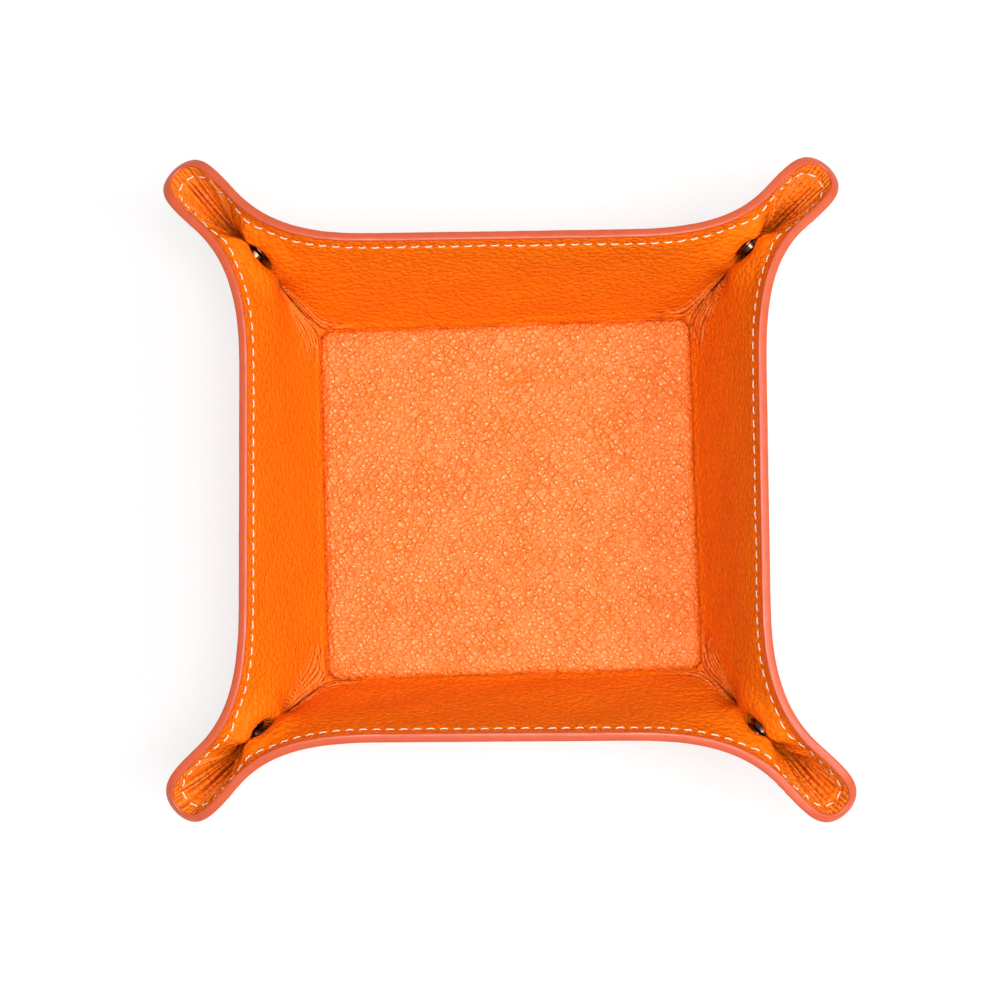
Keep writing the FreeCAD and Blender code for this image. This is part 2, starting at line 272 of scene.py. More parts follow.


# sharp creases as height in millimetres and as painted shade, -1 in a valley, up to painted highlight, 1 on a
# ridge: rectified sine waves across the gathers, by the distance v from the valley or from the foot, whichever
# is less, and across the trough and tip by the angle about the base corner
def sharpCreases(part, a, b):
    rho, beta = fanPlace(a, b)
    psi = beta if part["ahead"] else 90.0 - beta
    seed = part["seed"]
    turn = math.radians(snap["fanDeg"]) - np.radians(beta)
    off, far = rho * np.sin(turn), rho * np.cos(turn)
    narrow = smooth((wrinkles["narrowFrom"] - far) / wrinkles["narrowRun"])
    narrow = wrinkles["narrowest"] + (1.0 - wrinkles["narrowest"]) * narrow
    wide = wrinkles["sideWide"] if part["onSide"] else wrinkles["endWide"]
    v = 1.0 / np.sqrt((narrow / np.maximum(off, 0.05)) ** 2 + 1.0 / np.maximum(b + 0.3, 0.05) ** 2)

    def wavered(way, length, kind, number):
        share, wavelength, size = wrinkles[kind]
        return softNoise(way, length * share, wavelength, seed + number) * size

    waver = wavered(v, far, "slowWaver", 0) + wavered(v, far, "fastWaver", 1)
    ridge = np.abs(np.sin(math.pi * v / wrinkles["cornerSpacing"] + waver))
    strength = band(v, 0.1, 0.7, wide * 0.6, wide) * band(far, *wrinkles["gatherRun"])
    strength = strength * smooth((a - wrinkles["gatherFrom"]) / wrinkles["gatherRise"])
    patches = softNoise(*flatPlace(part, a, b), wrinkles["patchLength"], seed + 7)
    strength = strength * np.clip(wrinkles["patchMean"] + wrinkles["patchSpread"] * patches, 0.2, 1.3)
    fade = (0.3 + 0.7 * narrow) * smooth(b / 3.0) * smooth((rho - 1.0) / 5.0)
    lift = (ridge - 0.5) * strength * wrinkles["cornerHeight"] * fade
    # painted shade in the gathers' valleys and painted highlight on their ridges
    shade = (ridge * 2.3 - 1.3) * strength * smooth(b / 0.8)
    # creases along the trough and at the tip
    waver = wavered(psi, rho, "troughWaver", 3)
    phase = math.pi * psi / wrinkles["troughSpacing"] + waver
    minor = np.sin(phase * wrinkles["minorPace"] + wavered(psi, rho, "minorWaver", 2))
    trough = np.abs(np.sin(phase)) - wrinkles["ridgeLevel"] + wrinkles["minor"] * minor
    trough = trough * (0.8 + wavered(psi * 0.6, rho, "patchWaver", 8))
    trough = trough * band(rho, *wrinkles["troughRun"]) * band(beta, *wrinkles["troughFan"])
    phase = math.pi * psi / wrinkles["tipSpacing"] + waver * 1.5
    tip = np.abs(np.sin(phase)) - wrinkles["ridgeLevel"]
    tip = tip * band(sheetReach(beta) - rho, *wrinkles["tipRun"]) * band(beta, *wrinkles["tipFan"])
    lift = lift + trough * wrinkles["troughHeight"] + tip * wrinkles["tipHeight"]
    # painted shade and painted highlight of the trough and tip creases
    shade = shade + trough * wrinkles["troughShade"] + tip * wrinkles["tipShade"]
    # painted shade: darker where the ear is pinched and in the valley below the snap
    pinched = band(rho, *wrinkles["pinchRun"]) * band(beta, *wrinkles["pinchFan"])
    shade = shade - wrinkles["pinchShade"] * pinched
    valley = np.exp(-((off - wrinkles["valleyOff"]) / wrinkles["valleyWidth"]) ** 2)
    shade = shade - wrinkles["valleyShade"] * valley * band(far, *wrinkles["valleyRun"])
    return lift, np.clip(shade, -1.0, 1.0)


stitch = dict(inset=4.0, count=26, length=2.75, radius=0.25, slantDeg=6.0, lift=0.10, dip=0.42, arch=0.14,
              taper=0.45, flat=0.8, rings=9, sides=8)


# distance of flat coordinates from the stitch line, which runs a fixed inset inside the rim
def stitchDistance(a, b):
    fromRound = sheet["cornerRadius"] - np.hypot(a - straightRim, b - straightRim)
    return np.where(a > straightRim, fromRound, sheet["wallHeight"] - b) - stitch["inset"]


# slower forms of the leather, with runs and fans as for the creases
swells = dict(touch=0.25, shutFan=(15.0, 25.0, 31.0, 40.0), shutRun=(4.0, 11.0, 30.0, 34.5), dimple=0.7,
              dimpleRadius=5.0, dimpleRun=1.6, swell=1.8, overhang=0.6, swellRun=(4.2, 6.0, 7.5, 15.0), lip=1.7,
              lipRun=(41.5, 45.5, 47.0, 55.0), lipFan=(15.0, 25.0, 31.0, 39.0), groove=0.24, grooveWidth=1.1,
              uneven=0.22, unevenLength=26.0, footHeight=0.25, footLength=4.5, footRise=(-1.0, 0.4, 1.0, 5.0),
              footRoll=0.35, rollRise=(0.0, 1.0, 1.4, 4.5))


# height along the inner normal: sharp creases, halves of the ear that close up below the snap, a pressed seat
# under it, a lip that swells over it and one that closes the ear beyond it, a groove under the stitches, slow
# unevenness and a rolled foot
def leatherLift(part, a, b):
    rho, beta = fanPlace(a, b)
    x, y = flatPlace(part, a, b)
    toRim = sheetReach(beta) - rho
    fromSnap, aside = aboutSnap(a, b)
    shut = band(beta, *swells["shutFan"]) * band(rho, *swells["shutRun"])
    gap = np.maximum(rho * math.sin(math.radians(fan["pinchHalf"])) - swells["touch"], 0.0) * shut
    dimple = -swells["dimple"] * smooth((swells["dimpleRadius"] - fromSnap) / swells["dimpleRun"])
    swell = swells["swell"] + (swells["overhang"] if part["onSide"] else 0.0)
    dimple = dimple + swell * band(fromSnap, *swells["swellRun"]) * smooth(aside / 5.0 + 0.3)
    lip = swells["lip"] * band(rho, *swells["lipRun"]) * band(beta, *swells["lipFan"])
    groove = -swells["groove"] * np.exp(-(stitchDistance(a, b) / swells["grooveWidth"]) ** 2)
    uneven = swells["uneven"] * softNoise(x, y, swells["unevenLength"], 5)
    uneven = uneven * smooth(toRim / 8.0) * smooth(rho / 12.0)
    foot = np.abs(softNoise(x, y, swells["footLength"], 6)) * swells["footHeight"]
    foot = foot * band(b, *swells["footRise"]) + swells["footRoll"] * band(b, *swells["rollRise"])
    foot = foot * smooth((8.0 - a) / 10.0) * smooth(rho / 4.0)
    return sharpCreases(part, a, b)[0] + dimple + lip + gap + groove + uneven + foot


# how the depth thins towards the base corner, and how much of the creases the outside shows
face = dict(thinFrom=-1.5, thinRun=9.0, footRun=5.0, outerShare=0.55, inside=0.1, outside=2.0)


# a face of the leather in the tray: the folded sheet moved out by its depth, less near the base corner, with
# the creases added; the outside is pressed flat under the snap's cap
def leatherFace(part, a, b, depth):
    place, normal = foldedSheet(a, b)
    thin = smooth((np.hypot(a, b) - face["thinFrom"]) / face["thinRun"])
    thin = np.where(a < 0, np.maximum(thin, smooth(-a / face["footRun"])), thin)
    isOutside = depth > face["outside"]
    share = 1.0 if depth < face["inside"] else face["outerShare"] if isOutside else 0.0
    points = place + normal * (leatherLift(part, a, b) * share - depth * thin)[..., None]
    if isOutside:
        pressed = smooth((snap["pressed"] + snap["press"] - aboutSnap(a, b)[0]) / snap["press"])
        points = points + across * ((snap["capSeat"] - points @ across) * pressed)[..., None]
    return placed(part, points)


# normals of a face from small steps along both flat coordinates
def faceNormals(part, a, b, depth):
    step = 0.14
    alongA = leatherFace(part, a + step, b, depth) - leatherFace(part, a - step, b, depth)
    alongB = leatherFace(part, a, b + step, depth) - leatherFace(part, a, b - step, depth)
    return unit(np.cross(alongA, alongB) * (1.0 if part["ahead"] else -1.0))


# quads of a grid of rows by columns, wound the same way, with the first point at an index
def gridQuads(rows, columns, first=0):
    index = first + np.arange(rows * columns).reshape(rows, columns)
    return np.stack([index[:-1, :-1], index[1:, :-1], index[1:, 1:], index[:-1, 1:]], -1).reshape(-1, 4)


# quads between rings of points and the rings after them
def bandQuads(lower, upper):
    return np.stack([lower, np.roll(lower, -1, -1), np.roll(upper, -1, -1), upper], -1).reshape(-1, 4)


# triangles from a ring of points to a middle point
def ringCap(ring, middle):
    return np.stack([ring, np.roll(ring, -1), np.full(len(ring), middle)], -1)


# a mesh object from points in millimetres and faces, with a flat map, normals and the fold attribute of painted
# shade and highlight if given
def makeObject(name, points, faces, material, uv=None, normals=None, extra=(), shade=None):
    data = bpy.data.meshes.new(name)
    every = [faces, *extra]
    loops = np.concatenate([f.reshape(-1) for f in every])
    sizes = np.concatenate([np.full(len(f), f.shape[1]) for f in every])
    data.vertices.add(len(points))
    data.vertices.foreach_set("co", (points * mm).reshape(-1))
    data.loops.add(len(loops))
    data.loops.foreach_set("vertex_index", loops.astype(np.int32))
    data.polygons.add(len(sizes))
    data.polygons.foreach_set("loop_start", np.concatenate([[0], np.cumsum(sizes)[:-1]]).astype(np.int32))
    data.update(calc_edges=True)
    data.polygons.foreach_set("use_smooth", np.ones(len(sizes), bool))
    if uv is not None:
        data.uv_layers.new(name="flat").data.foreach_set("uv", uv[loops].reshape(-1))
    if shade is not None:
        # fold attribute: painted shade and painted highlight for the leather's colour
        data.attributes.new("fold", "FLOAT", "POINT").data.foreach_set("value", np.asarray(shade, np.float32))
    data.validate()
    if normals is not None:
        data.normals_split_custom_set(normals.reshape(-1, 3))
    data.materials.append(material)
    made = bpy.data.objects.new(name, data)
    bpy.context.scene.collection.objects.link(made)
    return made


# closed plate between two grids of points: both faces and the strip round their edge;
# the faces keep their own normals and the strip is flat
def makePlate(name, faces, normals, uvGrid, material, flip, shade):
    rows, columns = faces[0].shape[:2]
    count = rows * columns
    points = np.vstack([grid.reshape(-1, 3) for grid in faces])
    index = np.arange(count).reshape(rows, columns)
    rim = np.concatenate([index[:-1, 0], index[-1, :-1], index[:0:-1, -1], index[0, :0:-1]])
    nextRim = np.roll(rim, -1)
    broad = np.vstack([gridQuads(rows, columns), gridQuads(rows, columns, count)[:, ::-1]])
    strip = np.stack([rim + count, nextRim + count, nextRim, rim], -1)
    if flip:
        broad, strip = broad[:, ::-1], strip[:, ::-1]
    edgeA, edgeB = points[strip[:, 1]] - points[strip[:, 0]], points[strip[:, 2]] - points[strip[:, 1]]
    pointNormals = np.vstack([normals[0].reshape(-1, 3), -normals[1].reshape(-1, 3)])
    stripNormals = np.repeat(unit(np.cross(edgeA, edgeB)), 4, axis=0)
    loopNormals = np.concatenate([pointNormals[broad.reshape(-1)], stripNormals])
    uv = np.vstack([uvGrid.reshape(-1, 2)] * 2)
    return makeObject(name, points, np.vstack([broad, strip]), material, uv, loopNormals, (),
                      np.tile(shade.reshape(-1), 2))


# flat map of the sheet turned so that each wall lies along the first axis, with its own offset
def sheetMap(part, a, b):
    run = (a + part["half"]) * (1.0 if part["ahead"] else -1.0)
    return np.stack([run, b + part["reach"]], -1) / mapSize + 0.5 + wallTurns[part["side"]] / 90.0 * 0.013


# shares of the way from foot to rim, closer together near the rim
def gridRows():
    low = np.linspace(0, mesh["rimShare"], mesh["lowRows"])[:-1]
    return np.concatenate([low, np.linspace(mesh["rimShare"], 1.0, mesh["rimRows"])])[None, :]


# flat coordinates of the leather from mid-wall to the seam in the ear: each station runs from a foot to the
# rim; feet lie along the crease and then round a small arc at the base corner, rims along the straight edge
def wallGrid(part, bent):
    height, apex, turnFrom = sheet["wallHeight"], mesh["apexRadius"], mesh["turnFrom"]
    seamEnd = height * math.tan(math.radians(fan["seam"]))
    top = np.concatenate([np.linspace(-part["half"], turnFrom, mesh["flatStations"])[:-1],
                          np.linspace(turnFrom, seamEnd, bent)])
    later = np.clip((top - turnFrom) / (seamEnd - turnFrom), 0, 1)
    straight = -turnFrom - apex
    run = later * (straight + apex * math.radians(90 + fan["seam"]))
    arcTurn = np.radians(-90.0) + np.maximum(run - straight, 0) / apex
    footA = np.where(top < turnFrom, top, np.where(run < straight, turnFrom + run, apex * np.sin(arcTurn)))
    footB = np.where((top < turnFrom) | (run < straight), 0.0, apex * np.cos(arcTurn))
    footB = np.maximum(footB, mesh["footLow"])
    rows = gridRows()
    return footA[:, None] * (1 - rows) + top[:, None] * rows, footB[:, None] * (1 - rows) + height * rows


# flat coordinates of a fan: lines from near the base corner to a share of the way to the rim, at fan angles
def fanGrid(beta, reach=1.0):
    rows = gridRows()
    rho = mesh["apexRadius"] * (1 - rows) + reach * sheetReach(beta)[:, None] * rows
    turn = np.radians(beta)[:, None]
    return rho * np.sin(turn), rho * np.cos(turn)


# a leather piece has its placement baked into its points
def bendAcross(made):
    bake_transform(made)


# the zone from mid-wall to the seam and the ear beyond it both have their placement baked into their points
def bendPiece(made, zone):
    if zone == "wall":
        bendAcross(made)
    else:
        bendAcross(made)


# materials and their shared groups


# a socket takes another socket's value, or a number, vector or colour of its own
def feed(tree, socket, value):
    if isinstance(value, bpy.types.NodeSocket):
        tree.links.new(value, socket)
    else:
        socket.default_value = (*value, 1.0) if socket.type == "RGBA" else value


def addNode(tree, kind, feeds=None, **settings):
    node = tree.nodes.new(kind)
    for key, value in settings.items():
        setattr(node, key, value)
    for key, value in (feeds or {}).items():
        feed(tree, node.inputs[key], value)
    return node


def newMaterial(name):
    material = bpy.data.materials.new(name)
    material.use_nodes = True
    tree = material.node_tree
    tree.nodes.clear()
    shader = addNode(tree, "ShaderNodeBsdfPrincipled")
    addNode(tree, "ShaderNodeOutputMaterial", {"Surface": shader.outputs["BSDF"]})
    return material, tree, shader


# a number from one to three others, each a socket or a value
def calc(tree, operation, *values, clamp=False):
    feeds = dict(enumerate(values))
    return addNode(tree, "ShaderNodeMath", feeds, operation=operation, use_clamp=clamp).outputs[0]


def vectorCalc(tree, operation, feeds):
    return addNode(tree, "ShaderNodeVectorMath", feeds, operation=operation).outputs[0]


# value moved from one range to another along a smoothstep
def ranged(tree, value, fromMin, fromMax, toMin, toMax):
    feeds = {"Value": value, "From Min": fromMin, "From Max": fromMax, "To Min": toMin, "To Max": toMax}
    return addNode(tree, "ShaderNodeMapRange", feeds, interpolation_type="SMOOTHSTEP").outputs["Result"]


def mixColour(tree, factor, a, b):
    return addNode(tree, "ShaderNodeMix", {0: factor, 6: a, 7: b}, data_type="RGBA").outputs[2]


def noiseNode(tree, vector, scale, detail, dimensions="2D"):
    feeds = dict(Vector=vector, Scale=scale, Detail=detail)
    return addNode(tree, "ShaderNodeTexNoise", feeds, noise_dimensions=dimensions)


def addBump(tree, shader, height, strength, distance):
    bump = addNode(tree, "ShaderNodeBump", dict(Height=height, Strength=strength, Distance=distance))
    feed(tree, shader.inputs["Normal"], bump.outputs[0])


def flatMapNode(tree):
    return addNode(tree, "ShaderNodeUVMap", uv_map="flat").outputs[0]


def objectPlace(tree):
    return addNode(tree, "ShaderNodeTexCoord").outputs["Object"]


# a node group with a vector and numbers going in and numbers coming out
def newGroup(name, numbers, outputs):
    tree = bpy.data.node_groups.new(name, "ShaderNodeTree")
    tree.interface.new_socket("Vector", in_out="INPUT", socket_type="NodeSocketVector")
    for label, value in numbers.items():
        socket = tree.interface.new_socket(label, in_out="INPUT", socket_type="NodeSocketFloat")
        socket.default_value = value
    for label in outputs:
        tree.interface.new_socket(label, in_out="OUTPUT", socket_type="NodeSocketFloat")
    return tree, tree.nodes.new("NodeGroupInput").outputs, tree.nodes.new("NodeGroupOutput").inputs


pebble = dict(drift=0.55, small=2.2, pores=4.0, patches=0.11, slants=(48.0, -55.0), slantSize=(5.5, 1.7, 1.0),
              domeHeight=0.62, smallHeight=0.14, poreHeight=0.14, valleyHeight=-0.16, creaseHeight=-0.55)


# pebbled grain: cells of a wavered Voronoi give round pebbles, thin valleys part them, long creases slant
# across them two ways and show in patches, and noise adds pores
def buildGrain():
    tree, given, out = newGroup("pebbleGrain", dict(Pebbles=140.0, Waver=0.35, Creases=0.5),
                                ("Height", "Valley", "Crease"))
    scaled = vectorCalc(tree, "SCALE", {0: given["Vector"], "Scale": given["Pebbles"]})
    drift = noiseNode(tree, scaled, pebble["drift"], 2.0).outputs["Color"]
    centred = vectorCalc(tree, "SUBTRACT", {0: drift, 1: (0.5, 0.5, 0.5)})
    spread = addNode(tree, "ShaderNodeCombineXYZ", {0: given["Waver"], 1: given["Waver"]}).outputs[0]
    moved = vectorCalc(tree, "MULTIPLY_ADD", {0: centred, 1: spread, 2: scaled})

    def cells(feature, scale=1.0, place=moved):
        feeds = dict(Vector=place, Scale=scale)
        node = addNode(tree, "ShaderNodeTexVoronoi", feeds, voronoi_dimensions="2D", feature=feature)
        return node.outputs["Distance"]

    def slanted(deg):
        feeds = dict(Vector=moved, Rotation=(0.0, 0.0, math.radians(deg)), Scale=pebble["slantSize"])
        turned = addNode(tree, "ShaderNodeMapping", feeds, vector_type="TEXTURE").outputs[0]
        return ranged(tree, cells("DISTANCE_TO_EDGE", place=turned), 0.0, 0.1, 1.0, 0.0)

    dome = ranged(tree, cells("F1"), 0.05, 0.75, 1.0, 0.0)
    valley = ranged(tree, cells("DISTANCE_TO_EDGE"), 0.0, 0.2, 1.0, 0.0)
    small = ranged(tree, cells("F1", pebble["small"]), 0.1, 0.7, 1.0, 0.0)
    net = calc(tree, "MAXIMUM", *(slanted(deg) for deg in pebble["slants"]))
    patches = noiseNode(tree, scaled, pebble["patches"], 2.0).outputs["Fac"]
    crease = calc(tree, "MULTIPLY", net, ranged(tree, patches, 0.3, 0.65, 0.45, 0.95))
    crease = calc(tree, "MULTIPLY", crease, given["Creases"])
    pores = noiseNode(tree, scaled, pebble["pores"], 3.0).outputs["Fac"]
    height = calc(tree, "MULTIPLY", dome, pebble["domeHeight"])
    for layer, share in ((small, "smallHeight"), (pores, "poreHeight"), (valley, "valleyHeight"),
                         (crease, "creaseHeight")):
        height = calc(tree, "MULTIPLY_ADD", layer, pebble[share], height)
    for label, value in (("Height", height), ("Valley", valley), ("Crease", crease)):
        feed(tree, out[label], value)
    return tree


# slow changes of tone: a noise of large patches, stretched to about 0 to 1
def buildTone():
    tree, given, out = newGroup("slowTone", dict(Patches=8.0), ("Tone",))
    large = noiseNode(tree, given["Vector"], given["Patches"], 3.0, "3D").outputs["Fac"]
    feed(tree, out["Tone"], ranged(tree, large, 0.3, 0.7, 0.0, 1.0))
    return tree


grainGroup = buildGrain()
toneGroup = buildTone()


def placeGroup(tree, group, vector, **values):
    return addNode(tree, "ShaderNodeGroup", dict(Vector=vector, **values), node_tree=group).outputs


# each leather's tip colour is a painted highlight on the pebble tops
leathers = dict(
    base=dict(colour=(0.97, 0.245, 0.032), deep=(0.89, 0.158, 0.0), tip=(1.0, 0.46, 0.19), tipHighlight=0.5,
              pebbles=165.0, waver=0.8, creases=0.9, relief=0.0005, shine=0.22, dull=0.5, valley=0.42,
              lines=0.65, specular=0.7, stretch=(1.0, 1.0, 1.0)),
    lining=dict(colour=(0.95, 0.195, 0.0006), deep=(0.66, 0.080, 0.0), tip=(0.98, 0.235, 0.004), tipHighlight=0.3,
                pebbles=118.0, waver=0.95, creases=0.5, relief=0.00038, shine=0.46, dull=0.64, valley=0.13,
                lines=0.12, specular=0.16, stretch=(1.0, 1.2, 1.0)),
    outer=dict(colour=(0.93, 0.185, 0.001), deep=(0.62, 0.072, 0.0), tip=(0.96, 0.22, 0.003), tipHighlight=0.3,
               pebbles=125.0, waver=1.1, creases=0.5, relief=0.0003, shine=0.46, dull=0.62, valley=0.25,
               lines=0.3, specular=0.2, stretch=(1.0, 1.2, 1.0)),
)
# what the leathers share: the colours of the painted shade in a fold's valley and of the painted highlight on
# its ridge, and the slow patches of tone
foldShadeAndTone = dict(dark=(0.28, 0.020, 0.0), darkShare=-0.9, pale=(1.0, 0.42, 0.13), paleShare=0.55, patches=11.0,
             patchShare=0.12)


# pebbled leather: darker and duller in the valleys, with slow changes of tone, a painted highlight towards the
# pebble tops, painted shade in folds and a painted highlight on their ridges; read from the flat map, or from
# object coordinates on a piece without one
def leatherMaterial(name, look, mapped=True):
    material, tree, shader = newMaterial(name)
    if mapped:
        flat = flatMapNode(tree)
    else:
        flat = vectorCalc(tree, "SCALE", {0: objectPlace(tree), "Scale": 1 / (mapSize * mm)})
    stretch = addNode(tree, "ShaderNodeMapping", dict(Vector=flat, Scale=look["stretch"])).outputs[0]
    grain = placeGroup(tree, grainGroup, stretch, Pebbles=look["pebbles"], Waver=look["waver"],
                       Creases=look["creases"])
    tone = placeGroup(tree, toneGroup, flat, Patches=foldShadeAndTone["patches"])
    height = grain["Height"]
    depth = calc(tree, "MULTIPLY", grain["Valley"], look["valley"])
    depth = calc(tree, "MULTIPLY_ADD", grain["Crease"], look["lines"], depth)
    depth = calc(tree, "MULTIPLY_ADD", tone["Tone"], foldShadeAndTone["patchShare"], depth, clamp=True)
    # painted highlight: colour mixed towards the pale tip colour on the pebble tops
    colour = mixColour(tree, ranged(tree, height, 0.5, 0.85, 0.0, look["tipHighlight"]), look["colour"], look["tip"])
    colour = mixColour(tree, depth, colour, look["deep"])
    # the fold attribute brings painted shade where it is below 0 and a painted highlight where it is above 0
    fold = addNode(tree, "ShaderNodeAttribute", attribute_name="fold").outputs["Fac"]
    for paintedLight in ("dark", "pale"):
        share = calc(tree, "MULTIPLY", fold, foldShadeAndTone[paintedLight + "Share"], clamp=True)
        colour = mixColour(tree, share, colour, foldShadeAndTone[paintedLight])
    feed(tree, shader.inputs["Base Color"], colour)
    feed(tree, shader.inputs["Roughness"], ranged(tree, height, 0.2, 0.8, look["dull"], look["shine"]))
    addBump(tree, shader, height, 1.0, look["relief"])
    shader.inputs["Specular IOR Level"].default_value = look["specular"]
    return material


paint = dict(pale=(0.69, 0.110, 0.038), dark=(0.57, 0.082, 0.027), brush=(40.0, 900.0, 1.0), patches=60.0,
             toneShare=0.35, streakShare=0.6, shine=0.34, dull=0.5, bump=0.25, relief=0.0002)


# painted edge: coral paint with fine brush streaks along the edge and small gloss changes
def edgeMaterial():
    material, tree, shader = newMaterial("edgePaint")
    flat = flatMapNode(tree)
    stretch = addNode(tree, "ShaderNodeMapping", dict(Vector=flat, Scale=paint["brush"])).outputs[0]
    streaks = noiseNode(tree, stretch, 1.0, 4.0).outputs["Fac"]
    tone = placeGroup(tree, toneGroup, flat, Patches=paint["patches"])["Tone"]
    mixed = calc(tree, "MULTIPLY", streaks, paint["streakShare"])
    mixed = calc(tree, "MULTIPLY_ADD", tone, paint["toneShare"], mixed, clamp=True)
    feed(tree, shader.inputs["Base Color"], mixColour(tree, mixed, paint["pale"], paint["dark"]))
    feed(tree, shader.inputs["Roughness"], ranged(tree, streaks, 0.3, 0.7, paint["shine"], paint["dull"]))
    addBump(tree, shader, streaks, paint["bump"], paint["relief"])
    return material


thread = dict(shade=(0.80, 0.66, 0.46), cream=(0.93, 0.87, 0.76), lay=2.2, waver=0.6, dull=0.62, shine=0.48,
              bump=0.6, relief=0.0001)


# waxed thread: cream, with the slanting lay of its strands across each stitch
def threadMaterial():
    material, tree, shader = newMaterial("waxedThread")
    feeds = dict(Vector=flatMapNode(tree), Scale=thread["lay"], Distortion=thread["waver"])
    wave = addNode(tree, "ShaderNodeTexWave", feeds, wave_type="BANDS", bands_direction="DIAGONAL")
    lay = wave.outputs["Fac"]
    feed(tree, shader.inputs["Base Color"], mixColour(tree, lay, thread["shade"], thread["cream"]))
    feed(tree, shader.inputs["Roughness"], ranged(tree, lay, 0.0, 1.0, thread["dull"], thread["shine"]))
    addBump(tree, shader, lay, thread["bump"], thread["relief"])
    return material


nickel = dict(patches=420.0, scratches=2600.0, scuff=0.14, bump=0.12, relief=0.00005,
              dark=dict(colour=(0.26, 0.15, 0.09), tarnish=(0.12, 0.06, 0.03), shine=0.16),
              cap=dict(colour=(0.34, 0.30, 0.26), tarnish=(0.22, 0.17, 0.12), shine=0.26))


# plated metal: nickel with fine scratches and a warm tarnish in patches
def metalMaterial(name, colour, tarnish, shine):
    material, tree, shader = newMaterial(name)
    place = objectPlace(tree)
    tone = placeGroup(tree, toneGroup, place, Patches=nickel["patches"])["Tone"]
    scratches = noiseNode(tree, place, nickel["scratches"], 3.0, "3D").outputs["Fac"]
    feed(tree, shader.inputs["Base Color"], mixColour(tree, tone, colour, tarnish))
    rough = ranged(tree, scratches, 0.3, 0.7, shine, shine + nickel["scuff"])
    feed(tree, shader.inputs["Roughness"], rough)
    shader.inputs["Metallic"].default_value = 1.0
    addBump(tree, shader, scratches, nickel["bump"], nickel["relief"])
    return material


board = dict(dark=(0.24, 0.17, 0.11), pale=(0.42, 0.33, 0.24), flecks=900.0, rough=0.85, bump=0.3,
             relief=0.0002)


# brown board: pulp flecks
def boardMaterial():
    material, tree, shader = newMaterial("pulpBoard")
    flecks = noiseNode(tree, objectPlace(tree), board["flecks"], 5.0, "3D").outputs["Fac"]
    feed(tree, shader.inputs["Base Color"], mixColour(tree, flecks, board["dark"], board["pale"]))
    shader.inputs["Roughness"].default_value = board["rough"]
    addBump(tree, shader, flecks, board["bump"], board["relief"])
    return material


baseLeather = leatherMaterial("baseLeather", leathers["base"])
liningLeather = leatherMaterial("liningLeather", leathers["lining"])
outerLeather = leatherMaterial("outerLeather", leathers["outer"])
underLeather = leatherMaterial("underLeather", leathers["outer"], False)
edgePaint = edgeMaterial()
waxedThread = threadMaterial()
darkNickel = metalMaterial("darkNickel", **nickel["dark"])
capNickel = metalMaterial("capNickel", **nickel["cap"])
pulpBoard = boardMaterial()
print("materials made")


# one ply of leather of a wall's end or of half an ear: a plate between two faces of the folded sheet
def leatherPly(part, zone, ply):
    fine = ply == "lining"
    if zone == "wall":
        a, b = wallGrid(part, mesh["bentStations"] if fine else mesh["outerBent"])
    else:
        stations = mesh["earStations"] if fine else mesh["outerEar"]
        a, b = fanGrid(np.linspace(fan["seam"], fan["middle"], stations))
    depths = (0.0, sheet["ply"]) if fine else (sheet["ply"], sheet["ply"] * 2)
    faces = [leatherFace(part, a, b, depth) for depth in depths]
    normals = [faceNormals(part, a, b, depth) for depth in depths]
    # painted shade in the creases' valleys and painted highlight on their ridges, weaker on the outside
    shade = sharpCreases(part, a, b)[1] * (1.0 if fine else 0.4)
    made = makePlate(f"{zone}{ply.capitalize()}_{part['key']}", faces, normals, sheetMap(part, a, b),
                     liningLeather if fine else outerLeather, not part["ahead"], shade)
    bendPiece(made, zone)
    if zone == "wall":
        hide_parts(f"wall_{ply}_{part['side']}", f"flap_{ply}_{part['key']}")
    else:
        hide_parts(f"keel_{ply}_{part['key']}")


for part in wallEnds:
    for zone in ("wall", "ear"):
        for ply in ("lining", "outer"):
            leatherPly(part, zone, ply)
tongue = dict(fromDeg=42.5, toDeg=47.5, stations=13, depths=(1.0, 1.6), reach=0.985)


# strip inside the leather that joins the two halves of an ear: a fan from the base corner across the ear's
# middle, worked out as the first half up to the middle and as the mirrored second half beyond
def earTongue(part, other):
    beta = np.linspace(tongue["fromDeg"], tongue["toDeg"], tongue["stations"])
    a, b = fanGrid(beta, tongue["reach"])
    first = (beta <= fan["middle"])[:, None, None]

    def halves(work, depth):
        return np.where(first, work(part, a, b, depth), work(other, b, a, depth))

    faces = [halves(leatherFace, depth) for depth in tongue["depths"]]
    normals = [halves(faceNormals, depth) for depth in tongue["depths"]]
    made = makePlate(f"earTongue_{part['key']}", faces, normals, sheetMap(part, a, b), liningLeather, False,
                     np.zeros(a.shape))
    bendPiece(made, "ear")


# the hem's shade is painted shade, for the seam it lies in
hem = dict(start=-26.0, end=-3.2, longEnd=1.5, low=-1.7, high=0.8, depths=(0.9, 1.5), stations=40, rows=6,
           shade=-0.3)


# hem that carries a wall's plane on below its foot, inside the base's thickness, so that the fold stays covered
# when the wall is let down: a flat strip at the wall's slope, longer at the two corners that the settled base
# opens
def wallHem(part):
    opened = part["corner"][0] * part["corner"][1] < 0
    a, b = np.meshgrid(np.linspace(hem["start"], hem["longEnd"] if opened else hem["end"], hem["stations"]),
                       np.linspace(hem["low"], hem["high"], hem["rows"]), indexing="ij")
    faces = [placed(part, wallPlane(a, b) - wallInward * depth) for depth in hem["depths"]]
    normals = [np.broadcast_to(part["turn"] @ wallInward, faces[0].shape)] * 2
    made = makePlate(f"wallHem_{part['key']}", faces, normals, sheetMap(part, a, b), liningLeather,
                     not part["ahead"], np.full(a.shape, hem["shade"]))
    bendPiece(made, "wall")


# the gusset's shade is painted shade in the seam
gusset = dict(fromDeg=8.0, toDeg=44.0, stations=19, low=0.4, high=9.0, rows=12, depths=(0.9, 1.5), shade=-0.2)


